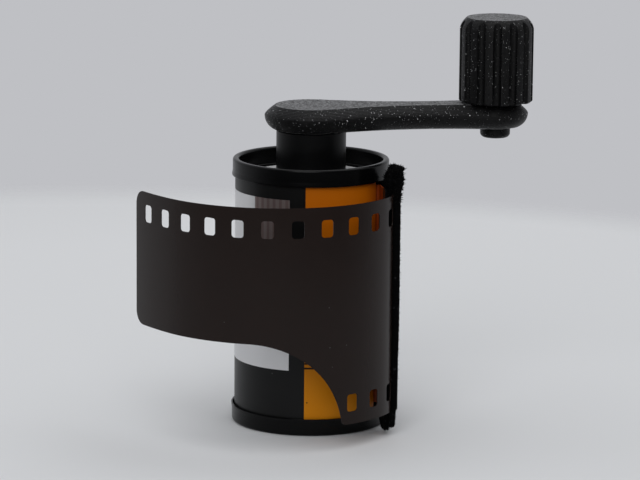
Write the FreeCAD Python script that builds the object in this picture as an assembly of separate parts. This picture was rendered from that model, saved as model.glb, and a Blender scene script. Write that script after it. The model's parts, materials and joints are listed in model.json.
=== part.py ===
import FreeCAD, Part
import math
import os

# Hand crank that winds 35 mm film back into its cassette, sitting on that cassette.
# Frame: origin on the spool axis at the mouth of the lower fork socket, +Z up,
# +X along the crank arm at rest. Millimetres.

V = FreeCAD.Vector
UP = V(0, 0, 1)

# ---- cassette: sheet metal body and end caps
body_radius = 12.05        # outside of the bare shell
body_sheet = 0.22
skirt_height = 2.75        # rim to the open edge of a cap's skirt
skirt_play = 0.15          # skirt over the wrap
foot_flare = 0.1           # open edge of the skirt turned out
foot_height = 0.8          # of the flared part
cap_sheet = 0.25
recess_depth = 2.75        # rim to the recessed floor
rim_bevel = 0.32           # both edges of the rim
cap_wall_play = 0.04       # recess wall inside the shell
groove_play = 0.25         # between the shell's edge and the rim that holds it
hub_hole_play = 0.3        # radial, spool hub in the cap
socket_recess = 0.6        # spool's lower end above the bottom rim

# ---- light trap: two flat lips with a felt on each, the film between them
mouth_turn = -8.5          # degrees, cassette about the axis from the drawing position
lip_tilt = 9.8             # degrees, the lips' plane turned outwards
lip_past_caps = 0.53       # outer lip beyond the caps' radius
lip_step = 0.6             # inner lip ends short of the outer one
lip_head_gap = 0.6         # lips stop short of the top cap's skirt
lip_foot_gap = 1.4         # and of the bottom cap's
hairpin_radius = 0.44      # mid line of the fold between shell and inner lip
felt_thickness = 0.86
felt_overhang = 0.35       # pile past the metal edge
felt_width = 4.4
outer_felt_end = 1.3       # above the bottom rim
inner_felt_end = 0.7
felt_rise = 0.2            # over the top rim
felt_shoulder = 1.8        # corners cut off beside the caps
felt_corner = 0.3
cap_clearance = 0.25       # felts beside the caps

# ---- printed wrap on the shell
wrap_thickness = 0.12
wrap_tuck = 1.2            # under each cap's skirt
wrap_end_gap = 1.0         # degrees, wrap short of the lips
panel_gap = 0.02           # panels inside their windows
amber_start = -93.7        # degrees in the cassette's drawing position
silver_start = -186.0      # degrees
silver_end = -105.5        # degrees
silver_foot = 10.5         # above the bottom rim
silver_head = 4.95         # below the top rim

# ---- film
film_width = 35.0
film_thickness = 0.14
throat_start = 1.0         # along the lip plane, near the wound film
exit_radius = 2.5          # bend over the inner lip
exit_turn = 29.2           # degrees
leader_arcs = [(3.2, 13.6), (26.3, 19.9), (12.9, 23.5), (9.5, 52.0)]   # length, radius
perforation_pitch = 4.75
perforation_length = 1.98
perforation_width = 2.79
perforation_corner = 0.3   # cut across each corner of a hole
perforation_edge = 2.01    # film edge to the hole
perforation_offset = 0.56  # first hole, from the end of the exit bend
tongue_height = 21.55      # film left on the cut leader
tongue_cut_radius = 15.5
tongue_cut_start = 27.3    # where the straight edge of the tongue begins, from the exit bend
cut_corner = 0.9           # foot of the tongue cut
tip_corner = 2.2           # corners of the leader's end
cut_points = 12            # along the curve of the tongue cut
trim_margin = 1.0          # cutters past the film

# ---- spool
hub_radius = 5.6
hub_rise = 4.4             # over the top rim
flange_side_play = 1.43    # flange edge to the shell
flange_thickness = 0.45
flange_play = 0.15         # film edge to flange
flange_end_play = 0.4      # flange to the cap's floor
roll_inset = 0.07          # wound film inside the flange edge
socket_radius = 3.3
hub_bore_depth = 7.6
web_thickness = 1.5
web_below_mouth = 2.0
fork_socket_depth = 2.4
fork_recess_radius = 2.8
fork_recess_depth = 4.0
tape_thickness = 0.06
tape_height = 22.0
tape_angle = 70.0          # degrees
winding_play = 0.1         # tape to the first turn of film

# ---- crank
crank_length = 30.0        # spool axis to knob axis
arm_thickness = 4.0
head_radius = 7.5          # radii and width at the arm's widest level
end_radius = 5.25
waist_half_width = 3.8
arm_top_edge = [(0.0, 1.6), (0.5, 1.05), (1.65, 0.0)]     # drawn in, below the flat top
arm_seat_gap = 0.1         # arm over the hub's top face
key_play = 0.1             # radial, key in the hub
key_slot_play = 0.15       # each side of the web
key_length = 6.6
key_plug_radius = 2.6
key_plug_length = 2.4
key_press = 0.01           # plug in the arm
key_chamfer = 0.4

# ---- knob
knob_radius = 5.95
knob_height = 13.6
knob_gap = 0.2             # knob over the arm
knob_top_edge = [(0.0, 1.85), (0.3, 0.95), (1.1, 0.0)]    # drawn in, below the flat top
flute_count = 14
flute_radius = 0.75        # over the corners of a flute's flats
flute_sides = 6
flute_centre_inset = 0.05  # flute centre inside the knob's radius
flute_phase = -112.7       # degrees, middle of one rib
knob_bottom_chamfer = 0.25
pin_radius = 1.75
pin_play = 0.1             # radial, pin in the arm
pin_grip = 9.0             # length pressed into the knob
pin_press = 0.01
pin_head_radius = 2.42
pin_head_height = 1.55
pin_head_round = 0.75
pin_head_gap = 0.1         # head under the arm

# ---- derived levels
rim_to_rim = film_width + 2 * (flange_play + flange_thickness + flange_end_play + cap_sheet + recess_depth)
base = -socket_recess
rim = base + rim_to_rim
mid = base + rim_to_rim / 2
skirt_low = base + skirt_height
skirt_high = rim - skirt_height
floor_top = rim - recess_depth
hub_top = rim + hub_rise
arm_bottom = hub_top + arm_seat_gap
arm_top = arm_bottom + arm_thickness
knob_bottom = arm_top + knob_gap
knob_top = knob_bottom + knob_height
film_low = mid - film_width / 2
film_high = mid + film_width / 2

# ---- derived radii
wrap_radius = body_radius + wrap_thickness
inner_radius = body_radius - body_sheet
skirt_radius = wrap_radius + skirt_play + cap_sheet
cap_radius = skirt_radius + foot_flare
outer_lip_reach = cap_radius + lip_past_caps       # from the axis's foot on the lip plane
inner_lip_reach = outer_lip_reach - lip_step
hub_hole = hub_radius + hub_hole_play
roll_inner = hub_radius + tape_thickness + winding_play
flange_radius = inner_radius - flange_side_play
roll_radius = flange_radius - roll_inset
outer_felt_d = inner_radius - felt_thickness
film_d = outer_felt_d - film_thickness / 2
inner_felt_d = film_d - film_thickness / 2 - felt_thickness
lip_mid_d = inner_felt_d - body_sheet / 2
tip_z = film_high - tongue_height


def save(name, shape):
    """Write one sub-part as a STEP file."""
    shape.exportStep("parts/" + name + ".step")


def polygon(points):
    return Part.Face(Part.makePolygon(points + [points[0]]))


def ring(outer, inner, low, high):
    solid = Part.makeCylinder(outer, high - low, V(0, 0, low))
    return solid.cut(Part.makeCylinder(inner, high - low, V(0, 0, low)))


def sector(outer, inner, low, high, start, end):
    """Ring segment from start to end, degrees counterclockwise."""
    def at(radius, angle):
        a = math.radians(angle)
        return V(radius * math.cos(a), radius * math.sin(a), low)
    half = (start + end) / 2
    edges = [
        Part.Arc(at(outer, start), at(outer, half), at(outer, end)).toShape(),
        Part.LineSegment(at(outer, end), at(inner, end)).toShape(),
        Part.Arc(at(inner, end), at(inner, half), at(inner, start)).toShape(),
        Part.LineSegment(at(inner, start), at(outer, start)).toShape(),
    ]
    return Part.Face(Part.Wire(edges)).extrude(UP * (high - low))


# ---- lip plane: n points out of it, u runs along it to the mouth
tilt = math.radians(lip_tilt)
lip_n = V(math.cos(tilt), math.sin(tilt), 0)
lip_u = V(math.sin(tilt), -math.cos(tilt), 0)


def lip_point(d, t, z=0.0):
    return lip_n * d + lip_u * t + V(0, 0, z)


def lip_block(d_low, d_high, t_low, t_high, low, high):
    corners = [lip_point(d_low, t_low, low), lip_point(d_high, t_low, low),
               lip_point(d_high, t_high, low), lip_point(d_low, t_high, low)]
    return polygon(corners).extrude(UP * (high - low))


def turn_cassette(shape):
    """From the drawing position to the cassette's place about the axis."""
    shape.rotate(V(0, 0, 0), UP, mouth_turn)
    return shape


def angle_of(point):
    return math.degrees(math.atan2(point.y, point.x))


# ---- shell: round body, outer lip, hairpin and inner lip from one sheet
hairpin_axis = body_radius - body_sheet / 2 + hairpin_radius
hairpin_d = lip_mid_d - hairpin_radius
hairpin_t = math.sqrt(hairpin_axis ** 2 - hairpin_d ** 2)
hairpin = lip_point(hairpin_d, hairpin_t)
shell_low = base + cap_sheet + groove_play
shell_high = rim - cap_sheet - groove_play
lip_low = skirt_low + lip_foot_gap
lip_high = skirt_high - lip_head_gap
shell_end = angle_of(hairpin)


def make_shell():
    round_body = sector(body_radius, inner_radius, shell_low, shell_high, lip_tilt, shell_end + 360)
    outer_lip = lip_block(inner_radius, body_radius, 0, outer_lip_reach, lip_low, lip_high)
    inner_lip = lip_block(inner_felt_d - body_sheet, inner_felt_d, hairpin_t, inner_lip_reach, lip_low, lip_high)
    fold = sector(hairpin_radius + body_sheet / 2, hairpin_radius - body_sheet / 2, 0, lip_high - lip_low,
                  lip_tilt, shell_end + 180)
    fold.translate(hairpin + V(0, 0, lip_low))
    return turn_cassette(round_body.fuse([outer_lip, inner_lip, fold]).removeSplitter())


def make_cap():
    """Top cap: flared skirt, rim folded over the shell's edge and recessed floor."""
    skirt_in = skirt_radius - cap_sheet
    wall_out = inner_radius - cap_wall_play
    wall_in = wall_out - cap_sheet
    under = floor_top - cap_sheet
    profile = [V(cap_radius, 0, skirt_high), V(skirt_radius, 0, skirt_high + foot_height),
               V(skirt_radius, 0, rim - rim_bevel), V(skirt_radius - rim_bevel, 0, rim),
               V(wall_in + rim_bevel, 0, rim), V(wall_in, 0, rim - rim_bevel),
               V(wall_in, 0, floor_top), V(hub_hole, 0, floor_top),
               V(hub_hole, 0, under), V(wall_out, 0, under),
               V(wall_out, 0, rim - cap_sheet), V(skirt_in, 0, rim - cap_sheet),
               V(skirt_in, 0, skirt_high)]
    return polygon(profile).revolve(V(0, 0, 0), UP, 360)


def make_bottom_cap(top_cap):
    return top_cap.mirror(V(0, 0, mid), UP)


def make_felt(d_low, d_high, reach, low, lip_side):
    """Felt strip glued to a lip, cut back beside the caps; its free long edge is rounded."""
    clear_t = math.sqrt((cap_radius + cap_clearance) ** 2 - d_low ** 2)
    start = max(reach - felt_width, clear_t)
    end, high = reach + felt_overhang, rim + felt_rise
    corners = [(start, low + felt_shoulder), (start + felt_shoulder, low), (end, low), (end, high),
               (start + felt_shoulder, high), (start, high - felt_shoulder)]
    strip = polygon([lip_point(d_low, t, z) for t, z in corners]).extrude(lip_n * (d_high - d_low))
    free_d = d_low if lip_side == "outer" else d_high
    target = lip_point(free_d, end)
    edges = [e for e in strip.Edges
             if abs(e.Vertexes[0].X - target.x) + abs(e.Vertexes[0].Y - target.y) < 1e-6
             and abs(e.Vertexes[1].X - target.x) + abs(e.Vertexes[1].Y - target.y) < 1e-6]
    return turn_cassette(strip.makeFillet(felt_corner, edges))


wrap_low = skirt_low - wrap_tuck
wrap_high = skirt_high + wrap_tuck
wrap_start = lip_tilt + wrap_end_gap
wrap_end = shell_end - wrap_end_gap


def make_wrap():
    """Printed wrap with two windows for its colour panels."""
    wrap = sector(wrap_radius, body_radius, wrap_low, wrap_high, wrap_start, wrap_end + 360)
    outside, inside = wrap_radius + trim_margin, body_radius - trim_margin
    amber = sector(outside, inside, wrap_low - trim_margin, wrap_high + trim_margin,
                   amber_start, wrap_end + wrap_end_gap)
    silver = sector(outside, inside, base + silver_foot, rim - silver_head, silver_start, silver_end)
    wrap = wrap.cut(amber)
    return turn_cassette(wrap.cut(silver))


def make_amber_panel():
    gap_angle = math.degrees(panel_gap / body_radius)
    return turn_cassette(sector(wrap_radius, body_radius, wrap_low, wrap_high,
                                amber_start + gap_angle, wrap_end))


def make_silver_panel():
    gap_angle = math.degrees(panel_gap / body_radius)
    return turn_cassette(sector(wrap_radius, body_radius, base + silver_foot + panel_gap,
                                rim - silver_head - panel_gap, silver_start + gap_angle,
                                silver_end - gap_angle))


# ---- film leader: straight through the felts, over the inner lip, then four easy arcs
class Bend:
    """One arc of the film's mid line: start point, heading in degrees, radius, turn to the right."""

    def __init__(self, start, heading, radius, turn):
        self.start, self.heading, self.radius, self.turn = start, heading, radius, turn
        side = math.radians(heading - 90)
        self.centre = start + V(math.cos(side), math.sin(side), 0) * radius

    def point(self, turned, offset=0.0):
        side = math.radians(self.heading + 90 - turned)
        return self.centre + V(math.cos(side), math.sin(side), 0) * (self.radius + offset)

    def sheet(self, low, high):
        first = self.heading + 90 - self.turn
        solid = sector(self.radius + film_thickness / 2, self.radius - film_thickness / 2,
                       0, high - low, first, first + self.turn)
        solid.translate(self.centre + V(0, 0, low))
        return solid


def film_path():
    heading = lip_tilt - 90
    start = lip_point(film_d, inner_lip_reach + felt_overhang)
    bends = [Bend(start, heading, exit_radius, exit_turn)]
    for length, radius in leader_arcs:
        last = bends[-1]
        turn = math.degrees(length / radius)
        bends.append(Bend(last.point(last.turn), last.heading - last.turn, radius, turn))
    return bends


bends = film_path()
leader_length = sum(length for length, radius in leader_arcs)


def along(distance):
    """Point and heading on the leader's mid line, measured from the end of the exit bend."""
    if distance < -math.radians(exit_turn) * exit_radius:
        back = -distance - math.radians(exit_turn) * exit_radius
        return bends[0].start - lip_u * back, bends[0].heading
    if distance < 0:
        turned = exit_turn + math.degrees(distance / exit_radius)
        return bends[0].point(turned), bends[0].heading - turned
    bend = bends[1]
    for (length, radius), following in zip(leader_arcs, bends[2:]):
        if distance <= length:
            break
        distance -= length
        bend = following
    turned = math.degrees(distance / bend.radius)
    return bend.point(turned), bend.heading - turned


def perforation(distance, z):
    """Cutter for one perforation, its length along the film."""
    tool = Part.makeBox(perforation_length, 2 * trim_margin, perforation_width,
                        V(-perforation_length / 2, -trim_margin, -perforation_width / 2))
    across = [e for e in tool.Edges if abs(e.Vertexes[0].Y - e.Vertexes[1].Y) > film_thickness]
    tool = tool.makeChamfer(perforation_corner, across)
    point, heading = along(distance)
    tool.rotate(V(0, 0, 0), UP, heading)
    tool.translate(point + V(0, 0, z))
    return tool


def corner_block(distance, z, radius, up):
    """What rounding takes off a corner of the film's end: a square less its disc."""
    inward = -radius if up else radius
    side = radius + trim_margin
    square = Part.makeBox(side, 2 * trim_margin, side, V(-radius, -trim_margin, -radius if up else -trim_margin))
    disc = Part.makeCylinder(radius, 2 * trim_margin, V(-radius, -trim_margin, inward), V(0, 1, 0))
    tool = square.cut(disc)
    point, heading = along(distance)
    tool.rotate(V(0, 0, 0), UP, heading)
    tool.translate(point + V(0, 0, z))
    return tool


def leader_cut():
    """Everything trimmed off below the tongue, as a prism across the film."""
    centre_z = tip_z - tongue_cut_radius
    foot_z = film_low + cut_corner
    foot = tongue_cut_start - math.sqrt(tongue_cut_radius ** 2 - (foot_z - centre_z) ** 2)
    first = math.asin((foot_z - centre_z) / tongue_cut_radius)
    curve = []
    for i in range(cut_points + 1):
        a = first + (math.pi / 2 - first) * i / cut_points
        point, heading = along(tongue_cut_start - tongue_cut_radius * math.cos(a))
        curve.append(V(point.x, 0, centre_z + tongue_cut_radius * math.sin(a)))
    foot_x = along(foot)[0].x
    corner_x = along(foot - cut_corner)[0].x
    spline = Part.BSplineCurve()
    spline.interpolate(curve)
    slope = math.sqrt(0.5)
    bend = V(corner_x + (foot_x - corner_x) * slope, 0, foot_z - cut_corner * slope)
    far_x = along(leader_length)[0].x - trim_margin
    low_z = film_low - trim_margin
    path = [V(far_x, 0, tip_z), V(far_x, 0, low_z), V(corner_x, 0, low_z), V(corner_x, 0, film_low)]
    edges = [
        Part.Arc(V(corner_x, 0, film_low), bend, curve[0]).toShape(),
        spline.toShape(),
        Part.LineSegment(curve[-1], path[0]).toShape(),
        Part.LineSegment(path[0], path[1]).toShape(),
        Part.LineSegment(path[1], path[2]).toShape(),
        Part.LineSegment(path[2], path[3]).toShape(),
    ]
    prism = Part.Face(Part.Wire(edges)).extrude(V(0, 2 * leader_length, 0))
    prism.translate(V(0, -leader_length, 0))
    return prism


def make_leader():
    throat = lip_block(film_d - film_thickness / 2, film_d + film_thickness / 2, throat_start,
                       inner_lip_reach + felt_overhang, film_low, film_high)
    film = throat.fuse([bend.sheet(film_low, film_high) for bend in bends]).removeSplitter()
    film = film.cut(leader_cut())
    hole_z = film_width / 2 - perforation_edge - perforation_width / 2
    foot = tongue_cut_start - tongue_cut_radius
    cutters = []
    place = perforation_offset
    while place < leader_length - perforation_length:
        cutters.append(perforation(place, mid + hole_z))
        if place < foot - perforation_length / 2:
            cutters.append(perforation(place, mid - hole_z))
        place += perforation_pitch
    cutters.append(corner_block(leader_length, film_high, tip_corner, True))
    cutters.append(corner_block(leader_length, tip_z, tip_corner, False))
    return turn_cassette(film.cut(cutters))


# ---- spool and its winding
def make_spool():
    lower_flange = film_low - flange_play
    upper_flange = film_high + flange_play
    profile = [V(0, 0, 0), V(hub_radius, 0, 0), V(hub_radius, 0, lower_flange - flange_thickness),
               V(flange_radius, 0, lower_flange - flange_thickness), V(flange_radius, 0, lower_flange),
               V(hub_radius, 0, lower_flange), V(hub_radius, 0, upper_flange),
               V(flange_radius, 0, upper_flange), V(flange_radius, 0, upper_flange + flange_thickness),
               V(hub_radius, 0, upper_flange + flange_thickness), V(hub_radius, 0, hub_top), V(0, 0, hub_top)]
    spool = polygon(profile).revolve(V(0, 0, 0), UP, 360)
    hub_bore = Part.makeCylinder(socket_radius, hub_bore_depth, V(0, 0, hub_top - hub_bore_depth))
    web_height = hub_bore_depth - web_below_mouth
    web = Part.makeBox(2 * socket_radius + 1, web_thickness, web_height,
                       V(-socket_radius - 0.5, -web_thickness / 2, hub_top - hub_bore_depth))
    spool = spool.cut(hub_bore.cut(web))
    mouth = Part.makeCylinder(socket_radius, fork_socket_depth)
    recess = Part.makeCylinder(fork_recess_radius, fork_recess_depth, V(0, 0, fork_socket_depth))
    fork_web = Part.makeBox(2 * fork_recess_radius + 1, web_thickness, fork_recess_depth,
                            V(-fork_recess_radius - 0.5, -web_thickness / 2, fork_socket_depth))
    return spool.cut([mouth, recess.cut(fork_web)])


def make_roll():
    return ring(roll_radius, roll_inner, film_low, film_high)


def make_tape():
    return sector(hub_radius + tape_thickness, hub_radius, mid - tape_height / 2, mid + tape_height / 2,
                  0, tape_angle)


# ---- crank
def spread(end, waist, radius):
    """Along the arm, from an end's axis to the centre of a waist arc of this radius that touches it."""
    return math.sqrt((end - waist) * (end + waist + 2 * radius))


def waist_arc():
    """Radius of the arc that hollows each side of the arm, tangent to both ends."""
    low, high = 1.0, 500.0
    for i in range(60):
        radius = (low + high) / 2
        total = spread(head_radius, waist_half_width, radius) + spread(end_radius, waist_half_width, radius)
        if total < crank_length:
            low = radius
        else:
            high = radius
    return radius


waist_radius = waist_arc()


def arm_outline(inset, z):
    """The arm's outline drawn in by an inset: two ends joined by the hollow sides."""
    head, end, radius = head_radius - inset, end_radius - inset, waist_radius + inset
    waist = waist_half_width - inset
    centre = V(spread(head_radius, waist_half_width, waist_radius), waist_half_width + waist_radius, 0)
    knob_axis = V(crank_length, 0, 0)
    head_touch = centre * (head / (head + radius))
    end_touch = knob_axis + (centre - knob_axis) * (end / (end + radius))

    def at(p, side=1):
        return V(p.x, side * p.y, z)

    hollow = V(centre.x, waist, 0)
    return Part.Wire([
        Part.Arc(at(head_touch), V(-head, 0, z), at(head_touch, -1)).toShape(),
        Part.Arc(at(head_touch, -1), at(hollow, -1), at(end_touch, -1)).toShape(),
        Part.Arc(at(end_touch, -1), V(crank_length + end, 0, z), at(end_touch)).toShape(),
        Part.Arc(at(end_touch), at(hollow), at(head_touch)).toShape(),
    ])


def make_arm():
    """Flat top with a bevelled edge, and an underside rounded up to the widest level."""
    under_radius = arm_thickness - arm_top_edge[0][1]
    wires = []
    for degrees in (90, 45):
        a = math.radians(degrees)
        wires.append(arm_outline(under_radius * (1 - math.cos(a)), under_radius * (1 - math.sin(a))))
    wires += [arm_outline(inset, arm_thickness - drop) for inset, drop in arm_top_edge]
    arm = Part.makeLoft(wires, True, True)
    pin_hole = Part.makeCylinder(pin_radius + pin_play, arm_thickness, V(crank_length, 0, 0))
    key_hole = Part.makeCylinder(key_plug_radius + key_press, key_plug_length)
    arm = arm.cut([pin_hole, key_hole])
    arm.translate(V(0, 0, arm_bottom))
    return arm


def make_key():
    """Plug in the arm with a forked stem that straddles the web in the hub."""
    stem_radius = socket_radius - key_play
    low = arm_bottom - key_length
    profile = [V(0, 0, low), V(stem_radius - key_chamfer, 0, low), V(stem_radius, 0, low + key_chamfer),
               V(stem_radius, 0, arm_bottom), V(key_plug_radius, 0, arm_bottom),
               V(key_plug_radius, 0, arm_bottom + key_plug_length), V(0, 0, arm_bottom + key_plug_length)]
    key = polygon(profile).revolve(V(0, 0, 0), UP, 360)
    slot_width = web_thickness + 2 * key_slot_play
    slot_top = hub_top - web_below_mouth + 2 * key_slot_play
    slot = Part.makeBox(4 * socket_radius, slot_width, slot_top - low, V(-2 * socket_radius, -slot_width / 2, low))
    return key.cut(slot)


# ---- knob
def make_knob():
    profile = [V(0, 0, 0), V(knob_radius - knob_bottom_chamfer, 0, 0), V(knob_radius, 0, knob_bottom_chamfer)]
    profile += [V(knob_radius - inset, 0, knob_height - drop) for inset, drop in knob_top_edge]
    knob = polygon(profile + [V(0, 0, knob_height)]).revolve(V(0, 0, 0), UP, 360)
    corners = []
    for i in range(flute_sides):
        a = 2 * math.pi * i / flute_sides
        corners.append(V(knob_radius - flute_centre_inset + flute_radius * math.cos(a),
                         flute_radius * math.sin(a), 0))
    flute_blank = polygon(corners).extrude(UP * knob_height)
    flutes = []
    for i in range(flute_count):
        flute = flute_blank.copy()
        flute.rotate(V(0, 0, 0), UP, flute_phase + (i + 0.5) * 360 / flute_count)
        flutes.append(flute)
    bore = Part.makeCylinder(pin_radius + pin_press, pin_grip)
    knob = knob.cut(flutes + [bore])
    knob.translate(V(crank_length, 0, knob_bottom))
    return knob


def make_pin():
    head_top = arm_bottom - pin_head_gap
    head_low = head_top - pin_head_height
    top = knob_bottom + pin_grip
    bevel = pin_head_round * (1 - math.sqrt(0.5))
    profile = [V(0, 0, head_low), V(pin_head_radius - pin_head_round, 0, head_low),
               V(pin_head_radius - bevel, 0, head_low + bevel),
               V(pin_head_radius, 0, head_low + pin_head_round), V(pin_head_radius, 0, head_top),
               V(pin_radius, 0, head_top), V(pin_radius, 0, top), V(0, 0, top)]
    pin = polygon(profile).revolve(V(0, 0, 0), UP, 360)
    pin.translate(V(crank_length, 0, 0))
    return pin


os.makedirs("parts", exist_ok=True)
cap = make_cap()
save("cassette_shell", make_shell())
save("top_cap", cap)
save("bottom_cap", make_bottom_cap(cap))
save("outer_felt", make_felt(outer_felt_d, inner_radius, outer_lip_reach, base + outer_felt_end, "outer"))
save("inner_felt", make_felt(inner_felt_d, film_d - film_thickness / 2, inner_lip_reach,
                             base + inner_felt_end, "inner"))
save("label_wrap", make_wrap())
save("amber_panel", make_amber_panel())
save("silver_panel", make_silver_panel())
save("film_leader", make_leader())
save("film_spool", make_spool())
save("film_roll", make_roll())
save("film_tape", make_tape())
save("crank_arm", make_arm())
save("drive_key", make_key())
save("grip_knob", make_knob())
save("knob_pin", make_pin())
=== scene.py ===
import json
import math
import random
import bpy
import bmesh
from mathutils import Matrix, Vector, noise


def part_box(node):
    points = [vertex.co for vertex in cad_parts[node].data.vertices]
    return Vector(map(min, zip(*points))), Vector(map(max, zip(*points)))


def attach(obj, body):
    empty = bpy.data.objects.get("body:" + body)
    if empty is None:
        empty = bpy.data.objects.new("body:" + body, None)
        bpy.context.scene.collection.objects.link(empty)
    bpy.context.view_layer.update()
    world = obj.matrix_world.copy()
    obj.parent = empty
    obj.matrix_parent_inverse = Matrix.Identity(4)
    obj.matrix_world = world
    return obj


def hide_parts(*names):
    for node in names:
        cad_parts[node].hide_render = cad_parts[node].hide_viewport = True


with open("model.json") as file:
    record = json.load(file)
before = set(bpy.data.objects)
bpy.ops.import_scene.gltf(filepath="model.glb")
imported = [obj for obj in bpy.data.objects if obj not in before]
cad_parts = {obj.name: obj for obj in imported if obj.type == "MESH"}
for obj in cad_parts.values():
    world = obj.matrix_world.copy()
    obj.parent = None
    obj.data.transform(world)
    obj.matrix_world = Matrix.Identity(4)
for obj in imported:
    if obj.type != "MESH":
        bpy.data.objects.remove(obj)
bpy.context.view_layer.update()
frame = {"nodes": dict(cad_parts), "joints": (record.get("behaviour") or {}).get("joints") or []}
mm = 0.001
touching = 0.001 * mm  # points closer than this are one
cutOver = 1 * mm  # how far a cutting tool runs past the piece it cuts
joints = {joint["name"]: joint for joint in frame["joints"]}
knobAxis = Vector(joints["knob_spin"]["pos_m"])
# the lips of the film slot: square to them, and along them the way the film leaves
lipTurn = math.radians(1.3)
slotOut = Vector((math.cos(lipTurn), math.sin(lipTurn), 0))
slotAlong = Vector((slotOut.y, -slotOut.x, 0))
print("frame loaded:", len(frame["nodes"]), "nodes")


# small helpers for working with objects and in edit mode
def freshStart():
    if bpy.context.object and bpy.context.object.mode != "OBJECT":
        bpy.ops.object.mode_set(mode="OBJECT")
    bpy.ops.object.select_all(action="DESELECT")


def choose(piece, *others):
    # selects these alone, the first as the active one
    freshStart()
    for one in (piece, *others):
        one.select_set(True)
    bpy.context.view_layer.objects.active = piece


def newObject(name, data):
    made = bpy.data.objects.new(name, data)
    bpy.context.scene.collection.objects.link(made)
    return made


def startPiece(name):
    piece = bpy.context.object
    piece.name = name
    piece.data.name = name
    bpy.ops.object.mode_set(mode="EDIT")
    return piece


def settle():
    # the open piece's place goes into its mesh, and all of it is selected
    bpy.ops.object.mode_set(mode="OBJECT")
    bpy.ops.object.transform_apply(location=True, rotation=True, scale=True)
    bpy.ops.object.mode_set(mode="EDIT")
    bpy.ops.mesh.select_all(action="SELECT")


def pick(kind, test):
    # selects the vertices, edges or faces of the open mesh that pass the test
    bpy.ops.mesh.select_mode(type=kind)
    bpy.ops.mesh.select_all(action="DESELECT")
    mesh = bmesh.from_edit_mesh(bpy.context.object.data)
    parts = {"VERT": mesh.verts, "EDGE": mesh.edges, "FACE": mesh.faces}[kind]
    for part in parts:
        if test(part):
            part.select_set(True)
    mesh.select_flush_mode()
    bmesh.update_edit_mesh(bpy.context.object.data)


def middle(part):
    return sum((v.co for v in part.verts), Vector()) / len(part.verts)


def extrudeEdges(offset):
    bpy.ops.mesh.extrude_edges_move(TRANSFORM_OT_translate={"value": offset})


def extrudeFace(height):
    bpy.ops.mesh.extrude_region_move(TRANSFORM_OT_translate={"value": (0, 0, height)})


def cleanUp(piece, smoothAngle=35):
    # closes the work on the open piece: doubles merged, faces outwards, object left at the origin
    bpy.ops.mesh.select_mode(type="VERT")
    bpy.ops.mesh.select_all(action="SELECT")
    bpy.ops.mesh.remove_doubles(threshold=touching)
    bpy.ops.mesh.normals_make_consistent(inside=False)
    choose(piece)
    bpy.ops.object.transform_apply(location=True, rotation=True, scale=True)
    bpy.ops.object.shade_smooth_by_angle(angle=math.radians(smoothAngle))
    return piece


def applyTo(piece, *modifiers):
    choose(piece)
    for modifier in modifiers:
        bpy.ops.object.modifier_apply(modifier=modifier.name)


def cutWith(piece, tool):
    cut = piece.modifiers.new("cut", "BOOLEAN")
    cut.operation, cut.solver, cut.object = "DIFFERENCE", "EXACT", tool
    applyTo(piece, cut)
    bpy.data.objects.remove(tool)


def soften(piece, width, segments, angle, smoothAngle):
    edge = piece.modifiers.new("edge", "BEVEL")
    edge.width, edge.segments, edge.limit_method = width, segments, "ANGLE"
    edge.angle_limit = math.radians(angle)
    applyTo(piece, edge)
    bpy.ops.object.shade_smooth_by_angle(angle=math.radians(smoothAngle))


def place(piece, body, slot, *nodes):
    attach(piece, body)
    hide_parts(*nodes)


# node trees: inputs are values, or sockets to link from
def setInputs(tree, node, inputs):
    for key, value in inputs.items():
        if isinstance(value, bpy.types.NodeSocket):
            tree.links.new(value, node.inputs[key])
        else:
            node.inputs[key].default_value = value
    return node


def addNode(tree, kind, inputs=None, **settings):
    node = tree.nodes.new("ShaderNode" + kind)
    for name, value in settings.items():
        setattr(node, name, value)
    return setInputs(tree, node, inputs or {})


def mathNode(tree, operation, *values):
    return addNode(tree, "Math", dict(enumerate(values)), operation=operation).outputs[0]


def vectorNode(tree, operation, first, second=(0, 0, 0)):
    # second is a number where the operation is a scale
    inputs = {0: first, ("Scale" if operation == "SCALE" else 1): second}
    outputs = addNode(tree, "VectorMath", inputs, operation=operation).outputs
    return outputs["Value" if operation in ("DOT_PRODUCT", "DISTANCE") else "Vector"]


def remap(tree, value, over, to=(0.0, 1.0), kind="LINEAR"):
    # over and to are low and high of what comes in and what goes out
    inputs = {"Value": value, "From Min": over[0], "From Max": over[1], "To Min": to[0], "To Max": to[1]}
    return addNode(tree, "MapRange", inputs, interpolation_type=kind).outputs["Result"]


def swing(tree, tone, centre, spread):
    # follows the tone from one side of the centre to the other
    return remap(tree, tone, (0.0, 1.0), (centre - spread, centre + spread))


def mixValue(tree, factor, first, second):
    return addNode(tree, "Mix", {0: factor, 2: first, 3: second}, data_type="FLOAT").outputs[0]


def mixColour(tree, factor, first, second):
    first, second = (c if isinstance(c, bpy.types.NodeSocket) else (*c, 1) for c in (first, second))
    return addNode(tree, "Mix", {0: factor, 6: first, 7: second}, data_type="RGBA").outputs[2]


def bump(tree, height, depth, **under):
    # depth in mm; under may name the Normal it lies on
    inputs = {"Height": height, "Distance": depth * mm, "Strength": 1.0, **under}
    return addNode(tree, "Bump", inputs).outputs["Normal"]


def newMaterial(name, **values):
    material = bpy.data.materials.new(name)
    material.use_nodes = True
    tree = material.node_tree
    shader = tree.nodes["Principled BSDF"]
    for socket, value in values.items():
        shader.inputs[socket.replace("_", " ")].default_value = value
    return material, tree, shader


# camera: a long lens, a little above the object; in mm and degrees, clip in m
view = {"lens": 198.0, "sensor": 36, "clip": (0.05, 10), "distance": 567.618, "down": 10.981, "turn": -8.5,
        "aim": (1.5498, 0, 28.857), "roll": 0.505}


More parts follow.
